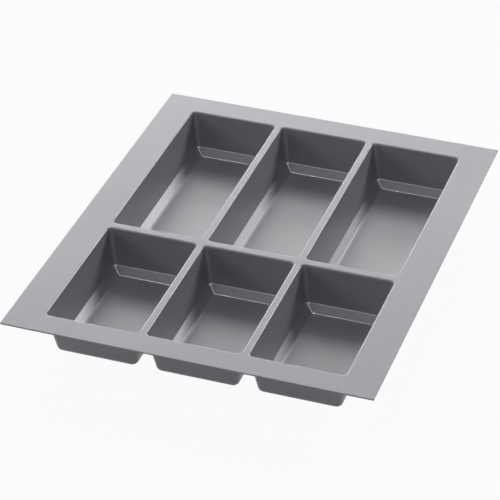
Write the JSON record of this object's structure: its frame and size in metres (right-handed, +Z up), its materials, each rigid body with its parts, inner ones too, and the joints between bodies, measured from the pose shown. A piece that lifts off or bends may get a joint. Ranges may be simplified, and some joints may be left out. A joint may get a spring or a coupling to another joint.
{
  "type": "cutlery tray",
  "caption": "Plastic drawer insert moulded in one piece, with a wide flat trim-to-fit border and tapered compartments for cutlery, long ones at the back and short ones in front.",
  "frame": {"origin": "on the drawer's floor, under the middle of the tray's outline", "axes": "+X to the right, +Y from the short compartments to the long ones at the back, +Z up"},
  "size_m": [0.37, 0.473, 0.047],
  "materials": {
    "sheet": "satin grey moulded plastic with a fine grain"
  },
  "bodies": {
    "root": {"rim_flange": "sheet", "cross_divider": "sheet", "rear_left_divider": "sheet", "rear_right_divider": "sheet", "front_left_divider": "sheet", "front_right_divider": "sheet", "rear_left_compartment": "sheet", "rear_middle_compartment": "sheet", "rear_right_compartment": "sheet", "front_left_compartment": "sheet", "front_middle_compartment": "sheet", "front_right_compartment": "sheet"}
  },
  "joints": []
}
